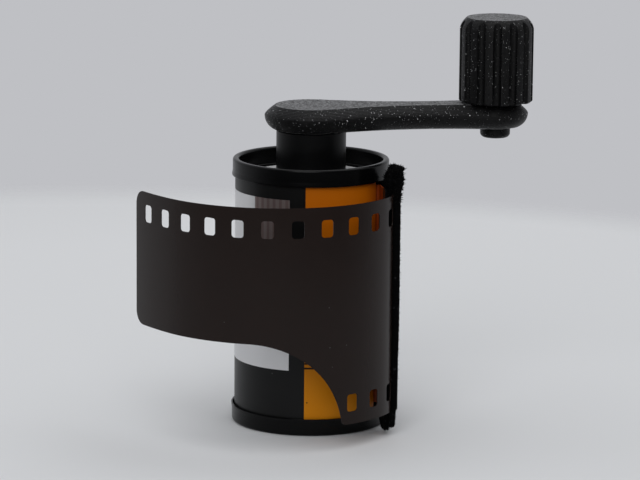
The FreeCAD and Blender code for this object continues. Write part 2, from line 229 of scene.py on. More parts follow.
def makeCamera():
    down, turn, roll = (math.radians(view[k]) for k in ("down", "turn", "roll"))
    data = bpy.data.cameras.new("camera")
    data.lens, data.sensor_width = view["lens"], view["sensor"]
    data.clip_start, data.clip_end = view["clip"]
    camera = newObject("camera", data)
    back = Vector((0, -math.cos(down), math.sin(down))) * view["distance"]
    spot = Matrix.Rotation(turn, 4, "Z") @ Matrix.Translation((Vector(view["aim"]) + back) * mm)
    aim = Matrix.Rotation(math.pi / 2 - down, 4, "X") @ Matrix.Rotation(roll, 4, "Z")
    camera.matrix_world = spot @ aim
    bpy.context.scene.camera = camera


makeCamera()

# soft studio light: levels from the camera's side to the far side, lamps in m and W
studio = {"ambientTint": (0.97, 0.985, 1.0), "ambientLevel": (0.20, 0.42), "backdrop": (0.521, 0.527, 0.552),
          "backdropShare": (0.155, 1.0), "changeOver": (-0.6, 0.3), "lightTurn": 1.5, "lampAim": (0, 0, 0.03)}
lamps = [
    {"name": "topBox", "at": (0.08, 0.02, 0.60), "size": (0.80, 0.80), "power": 2.2},
    {"name": "frontBox", "at": (-0.16, -0.54, 0.40), "size": (0.40, 0.40), "power": 1.5},
]
# pale sweep that fades into the backdrop at the same distance all round; lengths in m
sweep = {"colour": (0.78, 0.79, 0.81), "roughness": 0.75, "specular": 0.2, "radius": 0.28, "steps": 96,
         "gap": 0.02 * mm, "shade": (0.88, 1.0), "shadeOver": (-0.045, 0.15), "fadeCentre": (-0.04, 0.0),
         "fadeOver": (0.194, 0.224)}


def levelAway(turn):
    # level direction away from the camera's side, turned about the upright in degrees
    return (math.sin(math.radians(turn)), math.cos(math.radians(turn)), 0)


def makeLamp(spec):
    data = bpy.data.lights.new(spec["name"], "AREA")
    data.shape = "RECTANGLE"
    data.size, data.size_y = spec["size"]
    data.energy = spec["power"]
    lamp = newObject(spec["name"], data)
    lamp.location = spec["at"]
    lamp.rotation_euler = (Vector(studio["lampAim"]) - Vector(spec["at"])).to_track_quat("-Z", "Y").to_euler()
    lamp.visible_camera = False


def makeWorld():
    # the camera sees the plain backdrop; what lights and mirrors in the object is darker on the camera's side
    world = bpy.data.worlds.new("studio")
    bpy.context.scene.world = world
    world.use_nodes = True
    tree = world.node_tree
    tree.nodes.clear()
    where = addNode(tree, "TexCoord").outputs["Generated"]
    depth = vectorNode(tree, "DOT_PRODUCT", where, levelAway(studio["lightTurn"]))
    level = remap(tree, depth, studio["changeOver"], studio["ambientLevel"], "SMOOTHSTEP")
    share = remap(tree, depth, studio["changeOver"], studio["backdropShare"], "SMOOTHSTEP")
    rays = addNode(tree, "LightPath").outputs
    mirrored = mathNode(tree, "ADD", rays["Is Glossy Ray"], rays["Is Transmission Ray"])
    seen = mathNode(tree, "MINIMUM", mathNode(tree, "ADD", rays["Is Camera Ray"], mirrored), 1.0)
    ambient = addNode(tree, "Background", {"Color": (*studio["ambientTint"], 1), "Strength": level})
    strength = mathNode(tree, "MAXIMUM", rays["Is Camera Ray"], share)
    backdrop = addNode(tree, "Background", {"Color": (*studio["backdrop"], 1), "Strength": strength})
    mix = addNode(tree, "MixShader", {0: seen, 1: ambient.outputs[0], 2: backdrop.outputs[0]})
    addNode(tree, "OutputWorld", {"Surface": mix.outputs[0]})


def makeFloor():
    freshStart()
    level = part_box("bottom_cap")[0].z - sweep["gap"]
    bpy.ops.mesh.primitive_circle_add(vertices=sweep["steps"], radius=sweep["radius"], fill_type="NGON",
                                      location=(0, 0, level))
    floor = cleanUp(startPiece("floor"))
    material, tree, shader = newMaterial("paperSweep", Roughness=sweep["roughness"],
                                         Specular_IOR_Level=sweep["specular"])
    where = addNode(tree, "TexCoord").outputs["Object"]
    away = vectorNode(tree, "DISTANCE", where, (*sweep["fadeCentre"], level))
    depth = vectorNode(tree, "DOT_PRODUCT", where, levelAway(view["turn"]))
    # painted shade: the paper's colour darkens towards the camera
    shade = remap(tree, depth, sweep["shadeOver"], sweep["shade"])
    setInputs(tree, shader, {"Base Color": vectorNode(tree, "SCALE", sweep["colour"], shade),
                             "Alpha": remap(tree, away, sweep["fadeOver"], (1.0, 0.0), "SMOOTHSTEP")})
    floor.data.materials.append(material)


for lampSpec in lamps:
    makeLamp(lampSpec)
makeWorld()
makeFloor()
bpy.context.scene.view_settings.view_transform = "Standard"
print("studio ready")

# patterns that several finishes share, each a node group
patterns = {"wobbleScale": 0.35, "wobble": 0.05, "flatFrom": 0.9, "flakeReach": 0.42, "flakeFall": 6.0,
            "speckReach": 0.22, "dustFacing": (0.2, 1.0), "dustShare": (0.35, 1.0)}


def pointInMm(tree):
    return vectorNode(tree, "SCALE", addNode(tree, "TexCoord").outputs["Object"], 1 / mm)


def upwards(tree):
    # how far the surface faces up, from minus one to one
    return addNode(tree, "SeparateXYZ", {0: addNode(tree, "NewGeometry").outputs["Normal"]}).outputs["Z"]


def newGroup(name, inputs, outputs):
    group = bpy.data.node_groups.new(name, "ShaderNodeTree")
    for label, kind, value in inputs:
        socket = group.interface.new_socket(label, in_out="INPUT", socket_type="NodeSocket" + kind)
        if value is not None:
            socket.default_value = value
    for label, kind in outputs:
        group.interface.new_socket(label, in_out="OUTPUT", socket_type="NodeSocket" + kind)
    return group, group.nodes.new("NodeGroupInput").outputs, group.nodes.new("NodeGroupOutput")


def useGroup(tree, group, **values):
    node = tree.nodes.new("ShaderNodeGroup")
    node.node_tree = group
    return setInputs(tree, node, values).outputs


def folds(tree, value, width):
    # rounded ridges of this width
    turns = mathNode(tree, "DIVIDE", value, width)
    return mathNode(tree, "ABSOLUTE", mathNode(tree, "SINE", mathNode(tree, "MULTIPLY", turns, math.pi)))


def scatter(tree, size, share, reach):
    # specks in a share of the cells of this size, and each cell's own random colour
    scale = mathNode(tree, "DIVIDE", 1.0, size)
    grid = {"Vector": pointInMm(tree), "Scale": scale, "Randomness": 1.0}
    cells = addNode(tree, "TexVoronoi", grid).outputs
    chance = addNode(tree, "TexWhiteNoise", {"Vector": cells["Position"]}, noise_dimensions="3D").outputs
    held = mathNode(tree, "LESS_THAN", chance["Value"], share)
    near = mathNode(tree, "LESS_THAN", cells["Distance"], reach)
    return mathNode(tree, "MULTIPLY", held, near), chance["Color"]


def makeLayerGroup():
    # ridges of printed layers round the sides, diagonal strands on flat tops
    group, given, out = newGroup("printedLayers", [("Layer", "Float", 0.2), ("Strand", "Float", 0.42)],
                                 [("Height", "Float"), ("Flat", "Float")])
    point = pointInMm(group)
    wobble = addNode(group, "TexNoise", {"Vector": point, "Scale": patterns["wobbleScale"], "Detail": 1.0})
    drift = mathNode(group, "MULTIPLY", wobble.outputs["Fac"], patterns["wobble"])
    parts = addNode(group, "SeparateXYZ", {0: point}).outputs
    ridge = folds(group, mathNode(group, "ADD", parts["Z"], drift), given["Layer"])
    strand = folds(group, mathNode(group, "ADD", parts["X"], parts["Y"]), given["Strand"])
    flat = mathNode(group, "GREATER_THAN", mathNode(group, "ABSOLUTE", upwards(group)), patterns["flatFrom"])
    setInputs(group, out, {"Height": mixValue(group, flat, ridge, strand), "Flat": flat})
    return group


def makeGlitterGroup():
    # tiny flakes, each with a tilt and a brightness of its own; Amount is the share of cells that hold one
    group, given, out = newGroup("glitterFlakes", [("Size", "Float", 0.12), ("Amount", "Float", 0.05),
                                                   ("Tilt", "Float", 1.0), ("Normal", "Vector", None)],
                                 [("Mask", "Float"), ("Light", "Float"), ("Normal", "Vector")])
    mask, draw = scatter(group, given["Size"], given["Amount"], patterns["flakeReach"])
    third = addNode(group, "SeparateXYZ", {0: draw}).outputs["Z"]
    light = mathNode(group, "MULTIPLY", mask, mathNode(group, "POWER", third, patterns["flakeFall"]))
    centred = vectorNode(group, "SUBTRACT", draw, (0.5, 0.5, 0.5))
    lean = vectorNode(group, "SCALE", centred, mathNode(group, "MULTIPLY", mask, given["Tilt"]))
    unit = vectorNode(group, "NORMALIZE", vectorNode(group, "ADD", given["Normal"], lean))
    setInputs(group, out, {"Mask": mask, "Light": light, "Normal": unit})
    return group


def makeDustGroup():
    # specks of dust, thicker on what faces up
    group, given, out = newGroup("dustSpecks", [("Size", "Float", 0.25), ("Amount", "Float", 0.02)],
                                 [("Mask", "Float")])
    upward = remap(group, upwards(group), patterns["dustFacing"], patterns["dustShare"])
    share = mathNode(group, "MULTIPLY", upward, given["Amount"])
    setInputs(group, out, {"Mask": scatter(group, given["Size"], share, patterns["speckReach"])[0]})
    return group


def makeMottleGroup():
    # slow change of tone over a surface, and a fine peel for bump
    group, given, out = newGroup("mottle", [("Size", "Float", 3.0), ("Peel", "Float", 0.3)],
                                 [("Tone", "Float"), ("Peel", "Float")])
    point = pointInMm(group)
    for size, result, detail in (("Size", "Tone", 3.0), ("Peel", "Peel", 2.0)):
        scale = mathNode(group, "DIVIDE", 1.0, given[size])
        cloud = addNode(group, "TexNoise", {"Vector": point, "Scale": scale, "Detail": detail})
        setInputs(group, out, {result: cloud.outputs["Fac"]})
    return group


def makeWrapPlaceGroup():
    # angle round the cassette in degrees from the wrap's own zero, and height over the bottom rim in mm
    group, given, out = newGroup("wrapPlace", [("Turn", "Float", 8.5), ("Base", "Float", -0.6)],
                                 [("Angle", "Float"), ("Level", "Float")])
    parts = addNode(group, "SeparateXYZ", {0: pointInMm(group)}).outputs
    degrees = mathNode(group, "DEGREES", mathNode(group, "ARCTAN2", parts["Y"], parts["X"]))
    setInputs(group, out, {"Angle": mathNode(group, "ADD", degrees, given["Turn"]),
                           "Level": mathNode(group, "SUBTRACT", parts["Z"], given["Base"])})
    return group


layerGroup, glitterGroup, dustGroup = makeLayerGroup(), makeGlitterGroup(), makeDustGroup()
mottleGroup, wrapPlaceGroup = makeMottleGroup(), makeWrapPlaceGroup()


def band(tree, value, over, soft):
    # one inside the pair of bounds, nought outside
    rise = remap(tree, value, (over[0] - soft, over[0] + soft))
    fall = remap(tree, value, (over[1] - soft, over[1] + soft), (1.0, 0.0))
    return mathNode(tree, "MULTIPLY", rise, fall)


def skin(tree, spec):
    # the tone, and the roughness and peel that go with it
    mottle = useGroup(tree, mottleGroup, Size=spec["mottleSize"], Peel=spec["peelSize"])
    return mottle["Tone"], {"Roughness": swing(tree, mottle["Tone"], spec["roughness"], spec["roughSwing"]),
                            "Normal": bump(tree, mottle["Peel"], spec["peel"])}


# printed plastic: flakes as pairs of cell size and share; top is the grey of a painted sheen on flat faces,
# broken up by grit
printed = {"black": (0.0040, 0.0040, 0.0043), "top": (0.205, 0.207, 0.212), "flake": (0.9, 0.91, 0.93),
           "roughness": 0.40, "roughSwing": 0.08, "flakeRoughness": 0.3, "specular": 0.14,
           "flakes": ((0.12, 0.10), (0.20, 0.03)), "flakeTilt": 1.4, "layer": 0.2, "ridge": 0.03,
           "mottleSize": 2.0, "peelSize": 0.16, "peel": 0.05, "gritSize": 0.36, "gritOver": (0.40, 0.62)}


def makePrintedPlastic():
    material, tree, shader = newMaterial("printedPlastic", Specular_IOR_Level=printed["specular"])
    layers = useGroup(tree, layerGroup, Layer=printed["layer"])
    mottle = useGroup(tree, mottleGroup, Size=printed["mottleSize"], Peel=printed["peelSize"])
    ridges = bump(tree, layers["Height"], printed["ridge"])
    normal = bump(tree, mottle["Peel"], printed["peel"], Normal=ridges)
    light, mask = 0.0, 0.0
    for size, share in printed["flakes"]:
        flakes = useGroup(tree, glitterGroup, Size=size, Amount=share, Tilt=printed["flakeTilt"],
                          Normal=normal)
        normal = flakes["Normal"]
        light = mathNode(tree, "MAXIMUM", light, flakes["Light"])
        mask = mathNode(tree, "MAXIMUM", mask, flakes["Mask"])
    grit = remap(tree, useGroup(tree, mottleGroup, Peel=printed["gritSize"])["Peel"], printed["gritOver"])
    # painted sheen: flat faces, up or down, take the grey top colour, broken up by grit, as if they caught
    # light
    paintedFlatSheen = mathNode(tree, "MULTIPLY", layers["Flat"], grit)
    plain = mixColour(tree, paintedFlatSheen, printed["black"], printed["top"])
    rough = swing(tree, mottle["Tone"], printed["roughness"], printed["roughSwing"])
    setInputs(tree, shader, {"Base Color": mixColour(tree, light, plain, printed["flake"]), "Metallic": mask,
                             "Roughness": mixValue(tree, mask, rough, printed["flakeRoughness"]),
                             "Normal": normal})
    return material


# smooth finishes: what they share, then each one's own; peel in mm
satin = {"mottleSize": 4.0, "toneSwing": 0.15, "roughSwing": 0.06, "peelSize": 0.3,
         "dustColour": (0.16, 0.16, 0.16), "dust": 0.0}
satins = {
    "capLacquer": {"colour": (0.0018, 0.0019, 0.0021), "roughness": 0.24, "specular": 0.15, "peel": 0.004,
                   "dust": 0.004},
    # painted reflection: the middle of each cap's black recess floor is grey for the bright backdrop it
    # mirrors
    "paintedFloorReflection": {"colour": (0.55, 0.55, 0.56), "roughness": 0.5, "specular": 0.4, "peel": 0.004},
    "hubPlastic": {"colour": (0.0020, 0.0021, 0.0023), "roughness": 0.36, "specular": 0.15, "peel": 0.004,
                   "dust": 0.002},
    "wrapBlack": {"colour": (0.0045, 0.0046, 0.0048), "roughness": 0.38, "specular": 0.2, "peel": 0.003,
                  "dust": 0.004},
    "filmBase": {"colour": (0.0125, 0.0070, 0.0056), "roughness": 0.24, "specular": 0.18, "peel": 0.002,
                 "dust": 0.002},
    "tapeClear": {"colour": (0.45, 0.38, 0.24), "roughness": 0.35, "specular": 0.5, "peel": 0.003},
}


def makeSatin(name):
    spec = {**satin, **satins[name]}
    material, tree, shader = newMaterial(name, Specular_IOR_Level=spec["specular"])
    tone, look = skin(tree, spec)
    shade = vectorNode(tree, "SCALE", spec["colour"], swing(tree, tone, 1.0, spec["toneSwing"]))
    specks = useGroup(tree, dustGroup, Amount=spec["dust"])["Mask"]
    setInputs(tree, shader, {"Base Color": mixColour(tree, specks, shade, spec["dustColour"]), **look})
    return material


# amber: printed panel, paler towards the bottom; painted shade darkens and reddens it round to the slot; two
# printed rules and a dot; degrees round the wrap, mm up it
amber = {"ink": (0.58, 0.142, 0.001), "low": (0.66, 0.230, 0.003), "riseOver": (8.0, 34.0),
         "shade": (0.34, 0.065, 0.002), "shadeOver": (-46.0, -20.0), "mark": (0.02, 0.008, 0.002),
         "rules": ((10.85, 11.15), (11.6, 11.9)), "ruleSoft": 0.02, "rulesEnd": -74.0, "dotAngle": -91.5,
         "dotLevel": 5.4, "dotSize": 0.12, "mmPerDegree": 0.212, "mottleSize": 5.0, "peelSize": 0.2,
         "peel": 0.002, "roughness": 0.42, "roughSwing": 0.05, "specular": 0.12}


def makeAmber():
    material, tree, shader = newMaterial("wrapAmber", Specular_IOR_Level=amber["specular"])
    wrap = useGroup(tree, wrapPlaceGroup)
    angle, level = wrap["Angle"], wrap["Level"]
    plain = mixColour(tree, remap(tree, level, amber["riseOver"]), amber["low"], amber["ink"])
    # painted shade: the ink darkens and reddens round towards the slot, where the lip and felt shade it
    paintedShadeTowardsSlot = remap(tree, angle, amber["shadeOver"], kind="SMOOTHSTEP")
    ink = mixColour(tree, paintedShadeTowardsSlot, plain, amber["shade"])
    past = mathNode(tree, "SUBTRACT", angle, amber["dotAngle"])
    across = mathNode(tree, "MULTIPLY", past, amber["mmPerDegree"])
    up = mathNode(tree, "SUBTRACT", level, amber["dotLevel"])
    away = mathNode(tree, "ADD", *(mathNode(tree, "MULTIPLY", side, side) for side in (across, up)))
    marks = mathNode(tree, "LESS_THAN", away, amber["dotSize"] ** 2)
    ruled = mathNode(tree, "LESS_THAN", angle, amber["rulesEnd"])
    for rule in amber["rules"]:
        line = mathNode(tree, "MULTIPLY", band(tree, level, rule, amber["ruleSoft"]), ruled)
        marks = mathNode(tree, "MAXIMUM", marks, line)
    colour = mixColour(tree, marks, ink, amber["mark"])
    setInputs(tree, shader, {"Base Color": colour, **skin(tree, amber)[1]})
    return material


# silver print: upright bars over its upper part
silver = {"ink": (0.73, 0.73, 0.74), "bar": (0.19, 0.138, 0.13), "barTint": (0.25, 0.205, 0.20),
          "barsOver": (-136.5, -104.5), "barsSoft": 0.1, "barsLow": 30.0, "barPitch": 5.2,
          "barShare": (0.04, 0.5), "barSoft": 0.04, "mottleSize": 6.0, "peelSize": 0.25, "peel": 0.002,
          "roughness": 0.42, "roughSwing": 0.05, "specular": 0.4, "metallic": 0.6}


def makeSilver():
    material, tree, shader = newMaterial("wrapSilver", Specular_IOR_Level=silver["specular"],
                                         Metallic=silver["metallic"])
    wrap = useGroup(tree, wrapPlaceGroup)
    cell = mathNode(tree, "FRACT", mathNode(tree, "DIVIDE", wrap["Angle"], silver["barPitch"]))
    bars = band(tree, cell, silver["barShare"], silver["barSoft"])
    striped = mixColour(tree, bars, silver["barTint"], silver["bar"])
    zone = mathNode(tree, "MULTIPLY", band(tree, wrap["Angle"], silver["barsOver"], silver["barsSoft"]),
                    mathNode(tree, "GREATER_THAN", wrap["Level"], silver["barsLow"]))
    colour = mixColour(tree, zone, silver["ink"], striped)
    setInputs(tree, shader, {"Base Color": colour, **skin(tree, silver)[1]})
    return material


# felt: black pile with a little pale lint
pile = {"colour": (0.0016, 0.0016, 0.0018), "tangleScale": 6.0, "tangleDetail": 4.0, "toneSwing": (0.4, 1.8),
        "lint": (0.03, 0.03, 0.032), "lintScale": 1.7, "lintDetail": 2.0, "lintFrom": 0.72, "peel": 0.08,
        "specular": 0.05, "sheen": 0.02, "sheenRoughness": 0.5}


def makePile():
    material, tree, shader = newMaterial("feltPile", Roughness=1.0, Specular_IOR_Level=pile["specular"],
                                         Sheen_Weight=pile["sheen"], Sheen_Roughness=pile["sheenRoughness"])
    point = pointInMm(tree)
    tangle, lint = (addNode(tree, "TexNoise", {"Vector": point, "Scale": pile[kind + "Scale"],
                                               "Detail": pile[kind + "Detail"]}).outputs["Fac"]
                    for kind in ("tangle", "lint"))
    dark = vectorNode(tree, "SCALE", pile["colour"], remap(tree, tangle, (0.0, 1.0), pile["toneSwing"]))
    pale = mathNode(tree, "GREATER_THAN", lint, pile["lintFrom"])
    setInputs(tree, shader, {"Base Color": mixColour(tree, pale, dark, pile["lint"]),
                             "Normal": bump(tree, tangle, pile["peel"])})
    return material


# shell: black sheet, with the wrap's amber carried round onto the folded lip beside the film slot, and
# darkened and reddened there as painted shade
shell = {"bare": (0.004, 0.004, 0.0045), "fold": (0.22, 0.034, 0.003), "foldOver": (-38.0, -3.0),
         "foldSoft": 0.2, "lipFrom": 10.45, "mottleSize": 4.0, "roughness": 0.40, "roughSwing": 0.05,
         "specular": 0.2}


def makeShell():
    material, tree, shader = newMaterial("shellSteel", Specular_IOR_Level=shell["specular"])
    angle = useGroup(tree, wrapPlaceGroup)["Angle"]
    across = vectorNode(tree, "DOT_PRODUCT", pointInMm(tree), slotOut)
    inked = mathNode(tree, "MULTIPLY", mathNode(tree, "LESS_THAN", across, shell["lipFrom"]),
                     band(tree, angle, shell["foldOver"], shell["foldSoft"]))
    tone = useGroup(tree, mottleGroup, Size=shell["mottleSize"])["Tone"]
    # painted shade: where the amber reaches the folded lip it is darkened and reddened, as if in the shadow
    # of the lip and felt
    setInputs(tree, shader, {"Base Color": mixColour(tree, inked, shell["bare"], shell["fold"]),
                             "Roughness": swing(tree, tone, shell["roughness"], shell["roughSwing"])})
    return material


finishes = {name: makeSatin(name) for name in satins}
finishes.update(printedPlastic=makePrintedPlastic(), wrapAmber=makeAmber(), wrapSilver=makeSilver(),
                feltPile=makePile(), shellSteel=makeShell())
nodeFinish = {
    "cassette_shell": "shellSteel", "top_cap": "capLacquer", "bottom_cap": "capLacquer",
    "outer_felt": "feltPile", "inner_felt": "feltPile", "label_wrap": "wrapBlack",
    "amber_panel": "wrapAmber", "silver_panel": "wrapSilver", "film_leader": "filmBase",
    "film_spool": "hubPlastic", "film_roll": "filmBase", "film_tape": "tapeClear",
    "crank_arm": "printedPlastic", "drive_key": "printedPlastic", "grip_knob": "printedPlastic",
    "knob_pin": "printedPlastic",
}
for nodeName, finish in nodeFinish.items():
    mesh = frame["nodes"][nodeName].data
    if not mesh.materials:
        mesh.materials.append(finishes[finish])
    for index in range(len(mesh.materials)):
        mesh.materials[index] = finishes[finish]
print("finishes placed")


# round pieces drawn up from a ring, profile points as radius and level in mm
def arcPoints(centre, radius, start, end, steps):
    points = []
    for index in range(steps + 1):
        a = math.radians(start + (end - start) * index / steps)
        points.append((centre[0] + radius * math.cos(a), centre[1] + radius * math.sin(a)))
    return points


def edgeCurve(edge, steps):
    # smooth curve through the three points of a worn or moulded edge: drawn in, below the top
    (in0, drop0), (inMid, dropMid), (in2, drop2) = edge
    inPull, dropPull = 2 * inMid - (in0 + in2) / 2, 2 * dropMid - (drop0 + drop2) / 2
    points = []
    for index in range(steps + 1):
        t = index / steps
        a, b, c = (1 - t) ** 2, 2 * t * (1 - t), t ** 2
        points.append((a * in0 + b * inPull + c * in2, a * drop0 + b * dropPull + c * drop2))
    return points


def turnUp(name, profile, steps, closed, spot=(0, 0)):
    # a closed profile makes a tube, an open one a solid with a flat top and bottom
    freshStart()
    radius, level = profile[0]
    x, y = spot
    bpy.ops.mesh.primitive_circle_add(vertices=steps, radius=radius * mm, location=(x, y, level * mm))
    piece = startPiece(name)
    settle()
    if not closed:
        bpy.ops.mesh.edge_face_add()
        pick("EDGE", lambda e: True)
    for nextRadius, nextLevel in profile[1:] + (profile[:1] if closed else []):
        extrudeEdges((0, 0, (nextLevel - level) * mm))
        grow = nextRadius / radius
        bpy.ops.transform.resize(value=(grow, grow, 1), center_override=(x, y, nextLevel * mm))
        radius, level = nextRadius, nextLevel
    if not closed:
        bpy.ops.mesh.edge_face_add()
    return cleanUp(piece)


def rod(name, radius, low, high, spot, steps):
    freshStart()
    bpy.ops.mesh.primitive_cylinder_add(vertices=steps, radius=radius, depth=high - low,
                                        location=(spot[0], spot[1], (low + high) / 2))
    return cleanUp(startPiece(name), smoothAngle=60)


# crank arm: outline spun from four arcs, then drawn up and down in printed layers
# edge, layer and first step in mm
arm = {"waist": 3.8 * mm, "topEdge": [(0.0, 1.6), (0.44, 1.0), (1.65, 0.0)], "edgeSteps": 40, "layer": 0.2,
       "firstStep": 0.02, "headSteps": 112, "waistSteps": 22, "endSteps": 72,
       "sideRadius": (1 * mm, 500 * mm), "halvings": 60, "pinHole": 1.85 * mm, "holeSteps": 48}


def spinVertex(steps, angle, centre):
    # spin runs clockwise for a positive angle
    bpy.ops.mesh.spin(steps=steps, angle=-angle, center=centre, axis=(0, 0, 1))


def loneVertex(name, spot):
    freshStart()
    bpy.ops.mesh.primitive_plane_add(size=0.1 * mm, location=spot)
    piece = startPiece(name)
    settle()
    bpy.ops.mesh.merge(type="CENTER")
    return piece


def sideReach(radius, side):
    # along the arm, from the middle of a round end to the middle of the side arc that touches it
    return math.sqrt((radius - arm["waist"]) * (radius + arm["waist"] + 2 * side))


def waistRadius(head, end, length):
    # radius of the side arc that touches both ends, found by halving
    low, high = arm["sideRadius"]
    for attempt in range(arm["halvings"]):
        radius = (low + high) / 2
        if sideReach(head, radius) + sideReach(end, radius) < length:
            low = radius
        else:
            high = radius
    return radius


def printedRings(height, insetAt):
    # from the open face: a sloping ring for each printed layer; insetAt takes mm of rise
    count = round(height / arm["layer"])
    layer, drawnIn = height / count, 0
    for step in range(count):
        inset = insetAt((step + 1) * layer)
        bpy.ops.mesh.inset(thickness=(inset - drawnIn) * mm, depth=layer * mm)
        drawnIn = inset


def makeArm():
    low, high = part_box("crank_arm")
    head, end, length = -low.x, high.x - knobAxis.x, knobAxis.x
    side = waistRadius(head, end, length)
    centre = Vector((sideReach(head, side), arm["waist"] + side, 0))
    edgeHeight = arm["topEdge"][0][1]
    widest = high.z - edgeHeight * mm
    headTouch = centre * (head / (head + side))
    headAngle = math.atan2(centre.y, centre.x)
    endAngle = math.atan2(centre.y, centre.x - length)
    sideAngle = endAngle - headAngle
    piece = loneVertex("crankArm", (headTouch.x, headTouch.y, widest))
    spinVertex(arm["headSteps"], 2 * math.pi - 2 * headAngle, (0, 0, widest))
    spinVertex(arm["waistSteps"], -sideAngle, (centre.x, -centre.y, widest))
    spinVertex(arm["endSteps"], 2 * endAngle, (length, 0, widest))
    spinVertex(arm["waistSteps"], -sideAngle, (centre.x, centre.y, widest))
    bpy.ops.mesh.select_all(action="SELECT")
    bpy.ops.mesh.remove_doubles(threshold=10 * touching)
    bpy.ops.mesh.edge_face_add()
    extrudeFace(arm["firstStep"] * mm)
    edge = edgeCurve(arm["topEdge"], arm["edgeSteps"])
    over = edgeHeight - arm["firstStep"]
    printedRings(over, lambda rise: min(edge, key=lambda p: abs(over - rise - p[1]))[0])
    pick("FACE", lambda f: middle(f).z < widest + touching)
    under = (widest - low.z) / mm
    printedRings(under, lambda rise: under - math.sqrt(under ** 2 - rise ** 2))
    cleanUp(piece, smoothAngle=30)
    cutWith(piece, rod("armHole", arm["pinHole"], low.z - cutOver, high.z + cutOver, (length, 0),
                       arm["holeSteps"]))
    piece.data.materials.append(finishes["printedPlastic"])
    place(piece, "crank", "printed_plastic", "crank_arm")


makeArm()
print("crank arm made")

# knob: a lathe-turned blank with its top edge rounded off, flutes cut along it; edge and foot in mm
knob = {"topEdge": [(0.0, 1.85), (0.3, 0.95), (1.1, 0.0)], "edgeSteps": 8, "foot": 0.25, "steps": 196,
        "flutes": 14, "fluteRadius": 0.70 * mm, "fluteInset": 0.05 * mm, "fluteSteps": 28,
        "ribTurn": -112.7, "ribEdge": 0.15 * mm, "ribSegments": 2, "ribAngle": 35, "smooth": 30}


def makeKnob():
    low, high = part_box("grip_knob")
    radius, foot, top = (high.x - low.x) / 2 / mm, knob["foot"], high.z / mm
    profile = [(radius - foot, low.z / mm), (radius, low.z / mm + foot)]
    profile += [(radius - inset, top - drop) for inset, drop in edgeCurve(knob["topEdge"], knob["edgeSteps"])]
    piece = turnUp("gripKnob", profile, knob["steps"], False, knobAxis.xy)
    out = radius * mm - knob["fluteInset"]
    tool = None
    for index in range(knob["flutes"]):
        a = math.radians(knob["ribTurn"]) + (index + 0.5) * 2 * math.pi / knob["flutes"]
        spot = (knobAxis.x + out * math.cos(a), knobAxis.y + out * math.sin(a))
        flute = rod("flute", knob["fluteRadius"], low.z - cutOver, high.z + cutOver, spot, knob["fluteSteps"])
        if tool:
            choose(tool, flute)
            bpy.ops.object.join()
        else:
            tool = flute
    cutWith(piece, tool)
    soften(piece, knob["ribEdge"], knob["ribSegments"], knob["ribAngle"], knob["smooth"])
    piece.data.materials.append(finishes["printedPlastic"])
    place(piece, "knob", "printed_plastic", "grip_knob")


makeKnob()
print("knob made")

# knob pin: round head under the arm, stem up through it into the knob; lengths in mm
pin = {"stem": 1.75, "tip": 0.2, "headTop": 1.55, "headRound": 0.75, "roundSteps": 8, "headEdge": 0.08,
       "steps": 72}


def makePin():
    low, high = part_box("knob_pin")
    radius, foot, top = (high.x - low.x) / 2 / mm, low.z / mm, high.z / mm
    rounding, edge, stem, tip = pin["headRound"], pin["headEdge"], pin["stem"], pin["tip"]
    shoulder = foot + pin["headTop"]
    profile = arcPoints((radius - rounding, foot + rounding), rounding, -90, 0, pin["roundSteps"])
    profile += [(radius, shoulder - edge), (radius - edge, shoulder), (stem, shoulder), (stem, top - tip),
                (stem - tip, top)]
    piece = turnUp("knobPin", profile, pin["steps"], False, knobAxis.xy)
    piece.data.materials.append(finishes["printedPlastic"])
    place(piece, "knob", "printed_plastic", "knob_pin")


makePin()
print("pin made")

# caps: skirt with a flared foot, rim folded over the shell's edge, recessed floor; lengths in mm
cap = {"sheet": 0.25, "recess": 2.75, "skirt": 2.75, "flare": 0.1, "flareHeight": 0.8, "flareRise": 0.15,
       "flareIn": 0.02, "footEdge": (0.01, 0.02), "footBand": 0.2, "footInside": 0.1, "rimRound": 0.4,
       "rimSteps": 8, "hubHole": 5.9, "holeEdge": 0.08, "greyRadius": 9.8, "greyRing": 0.6,
       "greyWithin": 0.05, "wall": 11.54, "corner": 0.15, "cornerSteps": 5, "steps": 144}


def capProfile(foot):
    # from the skirt's foot up its outside, over the rim, along the floor and back inside; nought is the rim
    skirt, sheet, wall, edge = foot - cap["flare"], cap["sheet"], cap["wall"], cap["rimRound"]
    corner, grey, hole, notch = cap["corner"], cap["greyRadius"], cap["hubHole"], cap["holeEdge"]
    base, end = -cap["recess"], -cap["skirt"]
    flareTop = end + cap["flareHeight"]
    footIn, footUp = cap["footEdge"]
    outside = [(foot - footIn, end), (foot, end + footUp), (foot, end + cap["footBand"]),
               (skirt + cap["flareIn"], flareTop - cap["flareRise"]), (skirt, flareTop)]
    rim = arcPoints((skirt - edge, -edge), edge, 0, 90, cap["rimSteps"])
    rim += arcPoints((wall + edge, -edge), edge, 90, 180, cap["rimSteps"])
    floor = arcPoints((wall - corner, base + corner), corner, 0, -90, cap["cornerSteps"])
    floor += [(grey + cap["greyRing"], base), (grey, base), (hole + notch, base), (hole, base - notch),
              (hole, base - sheet)]
    floor += arcPoints((wall - corner, base + corner), corner + sheet, -90, 0, cap["cornerSteps"])
    inside = [(wall + sheet, -edge), (wall + edge, -sheet), (skirt - edge, -sheet), (skirt - sheet, -edge),
              (skirt - sheet, flareTop), (foot - sheet, end + cap["footInside"]),
              (foot - sheet + footUp, end)]
    return outside + rim + floor + inside


